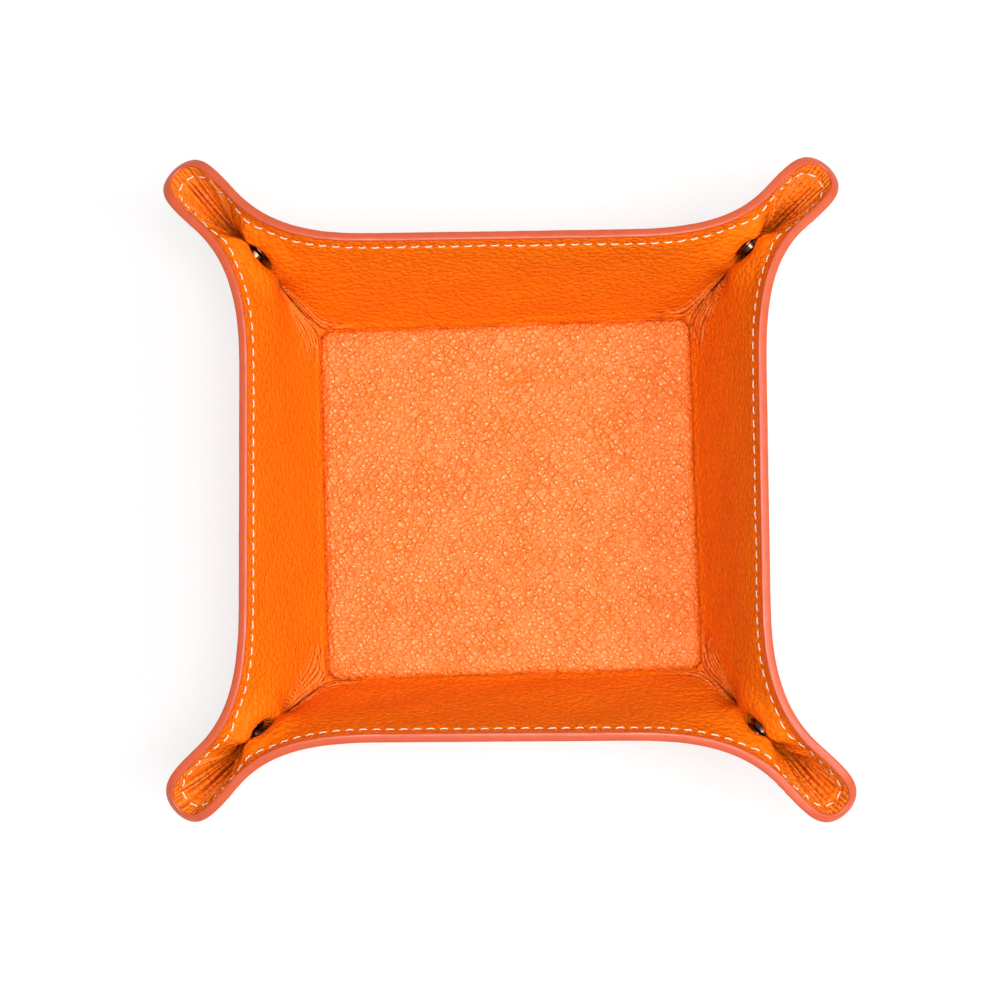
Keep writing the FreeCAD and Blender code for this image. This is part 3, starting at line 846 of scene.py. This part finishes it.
# small gusset inside the leather across the seam, near the base corner: a part of the fan at a middle depth,
# darkened by painted shade
def seamGusset(part):
    turns = np.radians(np.linspace(gusset["fromDeg"], gusset["toDeg"], gusset["stations"]))
    turn, rho = np.meshgrid(turns, np.linspace(gusset["low"], gusset["high"], gusset["rows"]), indexing="ij")
    a, b = rho * np.sin(turn), rho * np.cos(turn)
    faces = [leatherFace(part, a, b, depth) for depth in gusset["depths"]]
    normals = [faceNormals(part, a, b, depth) for depth in gusset["depths"]]
    made = makePlate(f"seamGusset_{part['key']}", faces, normals, sheetMap(part, a, b), liningLeather,
                     not part["ahead"], np.full(a.shape, gusset["shade"]))
    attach(made, part["flap"])


for part in wallEnds:
    wallHem(part)
    seamGusset(part)
    if part["ahead"]:
        earTongue(part, next(p for p in wallEnds if p["side"] == part["end"] and p["end"] == part["side"]))
print("leather plies made")

# painted edge, a rounded bar carried along the rim
edge = dict(halfDepth=1.36, halfRise=0.62, centre=-0.18, sides=18, power=3.2, wallStations=100, earStations=34,
            wander=0.05, wanderLength=7.0, mapAround=8.0)


# rim of the flat sheet by length from mid-wall: the straight edge, then the rounded corner, and the outward
# direction there
def rimPath(part, run, inset=0.0):
    straightRun = part["half"] + straightRim
    radius = sheet["cornerRadius"] - inset
    turn = np.maximum(run - straightRun, 0.0) / radius
    a = np.where(run < straightRun, run - part["half"], straightRim + radius * np.sin(turn))
    b = np.where(run < straightRun, sheet["wallHeight"] - inset, straightRim + radius * np.cos(turn))
    return a, b, np.sin(turn), np.cos(turn)


# folded rim: place, normal and direction out of the sheet's edge
def rimFrame(part, run):
    step = 0.2
    a, b, outA, outB = rimPath(part, run)
    place, normal = foldedSheet(a, b)
    ahead = foldedSheet(a + outA * step, b + outB * step)[0]
    behind = foldedSheet(a - outA * step, b - outB * step)[0]
    return place, normal, unit(ahead - behind)


# closed tube from rings of points, with a fan of triangles to a middle point at each end
def makeTube(name, rings, uv, material, flip):
    count, sides = rings.shape[:2]
    points = np.vstack([rings.reshape(-1, 3), rings[0].mean(0)[None], rings[-1].mean(0)[None]])
    index = np.arange(count * sides).reshape(count, sides)
    quads = bandQuads(index[:-1], index[1:])
    start = ringCap(index[0], count * sides)[:, [1, 0, 2]]
    end = ringCap(index[-1], count * sides + 1)
    if flip:
        quads, start, end = quads[:, ::-1], start[:, ::-1], end[:, ::-1]
    uvs = np.vstack([uv.reshape(-1, 2), uv[0].mean(0)[None], uv[-1].mean(0)[None]])
    around = np.roll(rings, -1, 1) - np.roll(rings, 1, 1)
    normal = unit(np.cross(around, np.gradient(rings, axis=0)) * (-1.0 if flip else 1.0))
    ends = [unit(rings[0].mean(0) - rings[1].mean(0)), unit(rings[-1].mean(0) - rings[-2].mean(0))]
    ends = [np.tile(n, (sides * 3, 1)) for n in ends]
    loopNormals = np.vstack([normal.reshape(-1, 3)[quads.reshape(-1)], *ends])
    return makeObject(name, points, quads, material, uvs, loopNormals, (start, end))


# length along the rim from mid-wall to the seam, at an inset
def seamRun(part, inset=0.0):
    return part["half"] + (sheet["wallHeight"] - inset) * math.tan(math.radians(fan["seam"]))


# length along the rim from mid-wall to the middle of the ear, at an inset
def rimEnd(part, inset=0.0):
    return part["half"] + straightRim + (sheet["cornerRadius"] - inset) * math.pi / 4


# one bar of painted edge: a rounded oblong section, with a slight wander, on the folded rim
def edgeBar(part, zone):
    if zone == "wall":
        run = np.linspace(0.0, seamRun(part), edge["wallStations"])
    else:
        run = np.linspace(seamRun(part), rimEnd(part), edge["earStations"])
    place, normal, outward = rimFrame(part, run)
    turn = np.linspace(0, 2 * math.pi, edge["sides"], endpoint=False)
    oblong = np.abs(np.cos(turn)) ** edge["power"] + np.abs(np.sin(turn)) ** edge["power"]
    oblong = oblong ** (-1 / edge["power"])
    deep = sheet["ply"] + edge["halfDepth"] * oblong * np.cos(turn)
    rise = edge["centre"] + edge["halfRise"] * oblong * np.sin(turn)
    wander = edge["wander"] * softNoise(run, run * 0, edge["wanderLength"], part["seed"] + 4)
    rings = place[:, None] - normal[:, None] * deep[None, :, None]
    rings = rings + outward[:, None] * (rise[None, :] + wander[:, None])[..., None]
    uv = np.stack(np.broadcast_arrays(run[:, None], turn[None, :] / (2 * math.pi) * edge["mapAround"]), -1)
    made = makeTube(f"{zone}Edge_{part['key']}", placed(part, rings), uv / mapSize, edgePaint,
                    not part["ahead"])
    bendPiece(made, zone)


for part in wallEnds:
    for zone in ("wall", "ear"):
        edgeBar(part, zone)
print("painted edges made")


# one run of stitches: each is a short rounded thread that dips into the leather at both ends, a little slanted
def stitchRun(part, zone, face):
    inner = face == "inner"
    total = rimEnd(part, stitch["inset"])
    middle = (np.arange(stitch["count"]) + 0.5) * (total / stitch["count"])
    seam = seamRun(part, stitch["inset"])
    middle = middle[middle < seam] if zone == "wall" else middle[middle >= seam]
    share = np.linspace(-1.0, 1.0, stitch["rings"])
    pick = np.random.default_rng(part["seed"] + (3 if inner else 5) + len(middle))
    length = stitch["length"] * pick.uniform(0.94, 1.06, len(middle))
    lean = math.tan(math.radians(stitch["slantDeg"])) * pick.uniform(0.5, 1.5, len(middle))
    lean = lean * (1 if part["ahead"] else -1)
    fromMiddle = share[None, :] * length[:, None] / 2
    run = np.minimum(middle[:, None] + fromMiddle, total - 0.02)
    a, b, outA, outB = rimPath(part, run, stitch["inset"])
    a, b = a + outA * fromMiddle * lean[:, None], b + outB * fromMiddle * lean[:, None]
    depth = 0.0 if inner else sheet["ply"] * 2
    place = leatherFace(part, a, b, depth)
    normal = faceNormals(part, a, b, depth) * (1 if inner else -1)
    forward = unit(np.gradient(place, axis=1))
    sideways = np.cross(normal, forward)
    arch = stitch["lift"] - stitch["dip"] * share ** 6 + stitch["arch"] * (1 - share ** 2)
    turn = np.linspace(0, 2 * math.pi, stitch["sides"], endpoint=False)
    radius = stitch["radius"] * (1.0 - stitch["taper"] * share ** 6)
    section = (sideways[:, :, None] * np.cos(turn)[:, None]
               + normal[:, :, None] * np.sin(turn)[:, None] * stitch["flat"])
    rings = (place + normal * arch[:, None])[:, :, None] + section * radius[:, None, None]
    index = np.arange(rings[..., 0].size).reshape(rings.shape[:3])
    quads = bandQuads(index[:, :-1], index[:, 1:])[:, [0, 3, 2, 1]]
    ends = np.vstack([index[:, 0], index[:, -1][:, ::-1]])
    if float((np.cross(forward, sideways) * normal).sum()) < 0:
        quads, ends = quads[:, ::-1], ends[:, ::-1]
    uv = np.stack(np.broadcast_arrays((share * 0.5 + 0.5)[:, None], turn / (2 * math.pi) * 0.8), -1)
    made = makeObject(f"{zone}Stitches_{face}_{part['key']}", rings.reshape(-1, 3), quads, waxedThread,
                      np.tile(uv.reshape(-1, 2), (len(middle), 1)), None, (ends,))
    bendPiece(made, zone)


for part in wallEnds:
    for zone in ("wall", "ear"):
        for side in ("inner", "outer"):
            stitchRun(part, zone, side)
print("stitches made")

panel = dict(gap=0.25, cornerRadius=4.0, low=1.5, top=4.6, shoulder=3.2, crown=0.35, around=720, pucker=0.22,
             puckerLength=3.6, puckerRun=(-1.0, 1.2, 1.6, 6.0), wave=0.10, waveLength=17.0, waveRun=7.0,
             shoulderRings=14, inner=60, lift=1.5, under=0.15, fill=0.85)


# rounded rectangle by share of its outline, and the inward direction there
def roundedOutline(halfLength, halfWidth, radius, share):
    straightX, straightY = halfLength - radius, halfWidth - radius
    arc = radius * math.pi / 2
    stops = np.concatenate([[0], np.cumsum(np.array([2 * straightY, arc, 2 * straightX, arc] * 2))])
    run = share * stops[-1]
    piece = np.clip(np.searchsorted(stops, run, side="right") - 1, 0, 7)
    local = run - stops[piece]
    quarter = piece // 2
    straight = piece % 2 == 0
    sizes = np.where(quarter % 2 == 0, 2 * straightY, 2 * straightX)
    reach = np.where(quarter % 2 == 0, straightX, straightY)
    turn = np.where(straight, 0.0, local / radius)
    # on the first side the outline goes up along +X; each quarter is turned a further 90 degrees
    x = reach + radius * np.cos(turn)
    y = np.where(straight, local - sizes / 2, sizes / 2 + radius * np.sin(turn))
    heading = turn + quarter * math.pi / 2
    c, s = np.cos(quarter * math.pi / 2), np.sin(quarter * math.pi / 2)
    return np.stack([c * x - s * y, s * x + c * y], -1), np.stack([-np.cos(heading), -np.sin(heading)], -1)


# padded panel: rings that step in from the outline, up a rounded shoulder and over a low crown to the middle;
# the shoulder is gathered by small puckers
def basePanel():
    halfLength, halfWidth = sheet["baseLength"] / 2 - panel["gap"], sheet["baseWidth"] / 2 - panel["gap"]
    share = np.arange(panel["around"]) / panel["around"]
    outline, inward = roundedOutline(halfLength, halfWidth, panel["cornerRadius"], share)

    def ring(flat, z):
        return np.concatenate([flat, np.full((len(flat), 1), z)], -1)

    turn = np.linspace(0, math.pi / 2, panel["shoulderRings"])
    inset = panel["shoulder"] * (1 - np.cos(turn))
    rise = panel["low"] + (panel["top"] - panel["low"]) * np.sin(turn) ** 0.9
    rim = outline + inward * panel["shoulder"]
    rings = np.stack([ring(outline + inward * d, z) for d, z in zip(inset, rise)]
                     + [ring(rim * (1 - k), panel["top"]) for k in np.linspace(0, 1, panel["inner"])[1:-1]])
    x, y, z = np.moveaxis(rings, -1, 0)
    edgeX, edgeY = np.maximum(halfLength - np.abs(x), 0.0), np.maximum(halfWidth - np.abs(y), 0.0)
    toEdge = edgeX + edgeY - np.hypot(edgeX, edgeY)
    crown = panel["crown"] * (1 - (x / halfLength) ** 4) * (1 - (y / halfWidth) ** 4)
    crown = crown + panel["wave"] * softNoise(x, y, panel["waveLength"], 71) * smooth(toEdge / panel["waveRun"])
    pucker = panel["pucker"] * softNoise(x, y, panel["puckerLength"], 73) * band(toEdge, *panel["puckerRun"])
    rings[..., 2] = z + (crown + pucker) * smooth((z - panel["low"]) / panel["lift"])
    lowest = panel["low"] - panel["under"]
    points = np.vstack([ring(outline, lowest), rings.reshape(-1, 3), [[0, 0, lowest]],
                        [[0, 0, panel["top"] + panel["crown"]]]])
    index = np.arange(len(points) - 2).reshape(-1, panel["around"])
    caps = (ringCap(index[0], len(points) - 2)[:, [1, 0, 2]], ringCap(index[-1], len(points) - 1))
    made = makeObject("basePad", settled(points), bandQuads(index[:-1], index[1:]), baseLeather,
                      points[:, :2] / mapSize + 0.5, None, caps)
    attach(made, "base")
    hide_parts("base_lining")


basePanel()
tuck = dict(radius=3.0, low=0.05, middle=1.3, half=3.1, out=0.9, rings=16, sides=48, stretch=0.45, waver=0.04)


# small knot of leather at each base corner, just outside it: the upper part of an ellipsoid whose outline is
# wavered and whose lower part is drawn out under the ear
def cornerTuck(part):
    turn = np.linspace(0, 2 * math.pi, tuck["sides"], endpoint=False)
    lowest = math.asin((tuck["low"] - tuck["middle"]) / tuck["half"])
    lift = np.linspace(lowest, 0.97 * math.pi / 2, tuck["rings"])[:, None]
    outward = part["turn"] @ along
    ahead = np.maximum(np.cos(turn - math.atan2(outward[1], outward[0])), 0.0) ** 1.5
    radius = tuck["radius"] * np.cos(lift) * (1 + tuck["waver"] * np.sin(5 * turn + part["seed"]))
    radius = radius * (1 + tuck["stretch"] * ahead * smooth(1.2 - lift))
    height = tuck["middle"] + tuck["half"] * np.sin(lift) + 0 * turn
    centre = part["corner"] + outward * tuck["out"]
    rings = np.stack([centre[0] + radius * np.cos(turn), centre[1] + radius * np.sin(turn), height], -1)
    made = makeTube(f"cornerTuck_{part['key']}", settled(rings), rings[..., :2] / mapSize + 0.5, outerLeather,
                    False)
    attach(made, "base")


for part in corners:
    cornerTuck(part)

# crease strips between base and walls; a section is (out from the crease, height)
strip = dict(stations=150, pucker=0.12, puckerLength=3.5,
             gutter=[(-0.5, 1.6), (0.3, 1.5), (0.75, 2.3), (1.05, 3.35), (0.72, 3.5), (0.42, 2.75), (0.1, 2.15),
                     (-0.25, 2.35), (-0.55, 2.9)],
             fold=[(-2.0, 0.02), (0.6, 0.04), (1.45, 0.22), (2.0, 0.75), (2.4, 1.6), (2.75, 2.55), (2.2, 2.7),
                   (1.6, 1.4), (0.8, 0.8), (-2.0, 0.8)])


# bar with a closed cross-section, carried along one side of the base
def creaseStrip(name, side, section, start, end, material, short):
    half = wallLengths[side] / 2 - short
    run = np.linspace(-half, half, strip["stations"])[:, None]
    out, height = np.array(section).T
    wander = softNoise(run + 300 * wallTurns[side], out[None, :] * 0.4, strip["puckerLength"], 91)
    rings = np.stack(np.broadcast_arrays(run, out + wallReaches[side], height + strip["pucker"] * wander), -1)
    turn = quarterTurn(wallTurns[side])
    uv = rings[..., :2] @ turn[:2, :2].T / mapSize + 0.5
    made = makeTube(name, settled(rings @ turn.T), uv, material, False)
    start, end = (tuple(turn @ np.array([0.0, p[0] + wallReaches[side], p[1]]) * mm) for p in (start, end))
    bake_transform(made)


for side in wallTurns:
    creaseStrip(f"creaseGutter_{side}", side, strip["gutter"], (-0.4, 2.2), (0.8, 3.2), liningLeather, 1.0)
    creaseStrip(f"creaseFold_{side}", side, strip["fold"], (0.3, 0.0), (2.5, 2.2), outerLeather, 1.5)
print("base made")

# snap pieces, turned about the line across the ear
turned = dict(segments=72, bevel=0.00012, bevelSegments=2, bevelDeg=35.0)


# surface of revolution from (radius, height) pairs about the snap's axis, closed at the axis or as a ring
def turnedPiece(name, part, profile, material, body, node):
    profile = np.asarray(profile, float)
    turn = np.linspace(0, 2 * math.pi, turned["segments"], endpoint=False)
    centre = lookUp(seatTable[0], seatTable[1], snap["fanDeg"]) * snap["radius"]
    centre = centre - across * (centre @ across)
    radial = np.cos(turn)[:, None] * along + np.sin(turn)[:, None] * np.cross(across, along)
    rings = centre + radial[None] * profile[:, 0, None, None] + across * profile[:, 1, None, None]
    points, caps = rings.reshape(-1, 3), ()
    index = np.arange(len(points)).reshape(rings.shape[:2])
    if profile[0, 0] > 1e-6:  # a ring: the profile is a loop
        quads = bandQuads(index, np.roll(index, -1, 0))
    else:
        points = np.vstack([rings[1:-1].reshape(-1, 3), rings[0, :1], rings[-1, :1]])
        index = index[:-2]
        quads = bandQuads(index[:-1], index[1:])
        caps = (ringCap(index[0], len(points) - 2)[:, [2, 0, 1]],
                ringCap(index[-1], len(points) - 1)[:, [2, 1, 0]])
    quads = quads[:, [0, 3, 2, 1]]
    area = np.sum(profile[:, 0] * np.roll(profile[:, 1], -1) - np.roll(profile[:, 0], -1) * profile[:, 1])
    if (area > 0) != part["ahead"]:
        quads = quads[:, ::-1]
        caps = tuple(c[:, ::-1] for c in caps)
    made = makeObject(name, placed(part, points), quads, material, None, None, caps)
    sharp = made.modifiers.new("round", "BEVEL")
    sharp.width = turned["bevel"]
    sharp.segments = turned["bevelSegments"]
    sharp.limit_method = "ANGLE"
    sharp.angle_limit = math.radians(turned["bevelDeg"])
    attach(made, body)
    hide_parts(node)


# quarter round from the rim of a dome to its crown
def domeProfile(radius, low, high, count=8):
    turn = np.linspace(0, math.pi / 2, count)
    return [(radius * math.cos(t), low + (high - low) * math.sin(t)) for t in turn[:-1]] + [(0.0, high)]


# round bead: points round a small circle in the profile, from one angle to another
def beadProfile(radius, height, size, start, end, count=9):
    turn = np.linspace(math.radians(start), math.radians(end), count)
    return [(radius + size * math.cos(t), height + size * math.sin(t)) for t in turn]


# profiles of the four pieces of a snap, as (radius, height) from the ear's middle plane
seat, capSeat = snap["seat"], snap["capSeat"]
capProfile = [(0, 1.6), (1.9, 1.6), (1.9, capSeat), (5.7, capSeat), (6.0, capSeat + 0.15)]
capProfile += domeProfile(6.0, capSeat + 0.5, capSeat + 1.3)
socketProfile = [(1.9, seat), (1.9, 1.5), (2.4, 1.5), (2.4, -0.55), (2.6, -0.75), (3.0, -0.8), (3.25, -0.6),
                 (3.25, 0.9)]
socketProfile += beadProfile(4.0, 1.3, 0.5, -120, 90) + [(3.6, seat)]
studProfile = [(0, seat - 0.4), (1.4, seat - 0.4), (1.4, seat), (3.6, seat)]
studProfile += beadProfile(3.85, seat - 0.45, 0.42, 80, -100)
studProfile += [(3.2, seat - 0.75), (1.5, seat - 0.75), (1.45, seat - 1.5)]
studTurns = np.linspace(-0.5, math.pi / 2, 9)[:-1]
studProfile += [(1.75 * math.cos(t), seat - 1.95 - 0.6 * math.sin(t)) for t in studTurns]
studProfile += [(0, seat - 2.55)]
postProfile = [(0, seat - 0.4), (1.4, seat - 0.4), (1.4, capSeat), (5.1, capSeat), (5.4, capSeat + 0.12)]
postProfile += domeProfile(5.4, capSeat + 0.4, capSeat + 1.0)
for part in wallEnds:
    key, flap = part["key"], part["flap"]
    if part["ahead"]:
        turnedPiece(f"snapCap_{key}", part, capProfile, capNickel, flap, f"snap_cap_{key}")
        turnedPiece(f"snapSocket_{key}", part, socketProfile, darkNickel, flap, f"snap_socket_{key}")
    else:
        turnedPiece(f"snapStud_{key}", part, studProfile, darkNickel, flap, f"snap_stud_{key}")
        turnedPiece(f"snapPost_{key}", part, postProfile, capNickel, flap, f"snap_post_{key}")
print("snaps made")

for node, material in (("base_board", pulpBoard), ("base_outer_leather", underLeather)):
    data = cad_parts[node].data
    data.materials.clear()
    data.materials.append(material)

# floor, light and camera
studio = dict(key=21.0, keySize=0.8, keyPlace=(0.26, -0.16, 1.5), side=6.5, sideSize=0.4,
              sidePlace=(1.05, -0.2, 1.25), glint=7.0, glintSize=0.3, glintPlace=(-0.2, 0.14, 1.5), fill=0.36,
              floorHalf=3000.0, floorZ=-0.25, floorColour=(0.9, 0.9, 0.9), floorGlow=0.7)
camera = dict(distance=750.0, focal=2499.6, target=(-1.824, -2.432, 25.0), east=2.371, south=5.087, roll=-0.407,
              sensor=36.0, imageWidth=1000.0)


# floor: white board that keeps the soft shadow; the camera sees part of it as plain white
def makeFloor():
    size, z = studio["floorHalf"], studio["floorZ"]
    square = np.array([[-size, -size, z], [size, -size, z], [size, size, z], [-size, size, z]])
    material = bpy.data.materials.new("paleFloor")
    material.use_nodes = True
    tree = material.node_tree
    tree.nodes.clear()
    matte = addNode(tree, "ShaderNodeBsdfDiffuse", dict(Color=studio["floorColour"]))
    glow = addNode(tree, "ShaderNodeEmission", dict(Color=(1.0, 1.0, 1.0)))
    rays = addNode(tree, "ShaderNodeLightPath").outputs
    seen = calc(tree, "MAXIMUM", rays["Is Camera Ray"], rays["Is Glossy Ray"])
    seen = calc(tree, "MAXIMUM", seen, rays["Is Transmission Ray"])
    share = calc(tree, "MULTIPLY", seen, studio["floorGlow"])
    mix = addNode(tree, "ShaderNodeMixShader", {0: share, 1: matte.outputs[0], 2: glow.outputs[0]})
    addNode(tree, "ShaderNodeOutputMaterial", dict(Surface=mix.outputs[0]))
    makeObject("floor", square, np.array([[0, 1, 2, 3]]), material)


# square soft light that faces the tray
def softbox(name, power, size, place):
    lamp = bpy.data.lights.new(name, "AREA")
    lamp.shape = "SQUARE"
    lamp.size = size
    lamp.energy = power
    light = bpy.data.objects.new(name, lamp)
    bpy.context.scene.collection.objects.link(light)
    place = Vector(place)
    light.matrix_world = Matrix.Translation(place) @ (-place).to_track_quat("-Z", "Y").to_matrix().to_4x4()
    return light


# pale air that the camera sees as white, two soft lights, and a small one that only gives gloss
def makeLight():
    world = bpy.data.worlds.new("studio")
    bpy.context.scene.world = world
    world.use_nodes = True
    tree = world.node_tree
    tree.nodes.clear()
    seen = addNode(tree, "ShaderNodeLightPath").outputs["Is Camera Ray"]
    strength = calc(tree, "MULTIPLY_ADD", seen, 1.0 - studio["fill"], studio["fill"])
    air = addNode(tree, "ShaderNodeBackground", dict(Color=(1.0, 1.0, 1.0), Strength=strength))
    addNode(tree, "ShaderNodeOutputWorld", dict(Surface=air.outputs[0]))
    softbox("keyLight", studio["key"], studio["keySize"], studio["keyPlace"])
    softbox("sideLight", studio["side"], studio["sideSize"], studio["sidePlace"])
    softbox("glintLight", studio["glint"], studio["glintSize"], studio["glintPlace"]).visible_diffuse = False


# camera over the tray: place by two small angles from straight above, rolled about its own axis
def makeCamera():
    back = np.array([math.sin(math.radians(camera["east"])), -math.sin(math.radians(camera["south"])), 0.0])
    back[2] = math.sqrt(1 - back[0] ** 2 - back[1] ** 2)
    right = unit(np.cross(-back, [0.0, 1.0, 0.0]))
    top = np.cross(right, -back)
    c, s = math.cos(math.radians(camera["roll"])), math.sin(math.radians(camera["roll"]))
    right, top = c * right + s * top, c * top - s * right
    place = (np.array(camera["target"]) + back * camera["distance"]) * mm
    lens = bpy.data.cameras.new("camera")
    lens.sensor_width = camera["sensor"]
    lens.sensor_fit = "HORIZONTAL"
    lens.lens = camera["focal"] / camera["imageWidth"] * camera["sensor"]
    lens.clip_start = 0.01
    eye = bpy.data.objects.new("camera", lens)
    bpy.context.scene.collection.objects.link(eye)
    columns = np.stack([right, top, back], 1)
    eye.matrix_world = Matrix.Translation(Vector(place)) @ Matrix(columns.tolist()).to_4x4()
    bpy.context.scene.camera = eye


makeFloor()
makeLight()
makeCamera()
bpy.context.scene.view_settings.view_transform = "Standard"

bpy.context.view_layer.update()
print("scene ready")
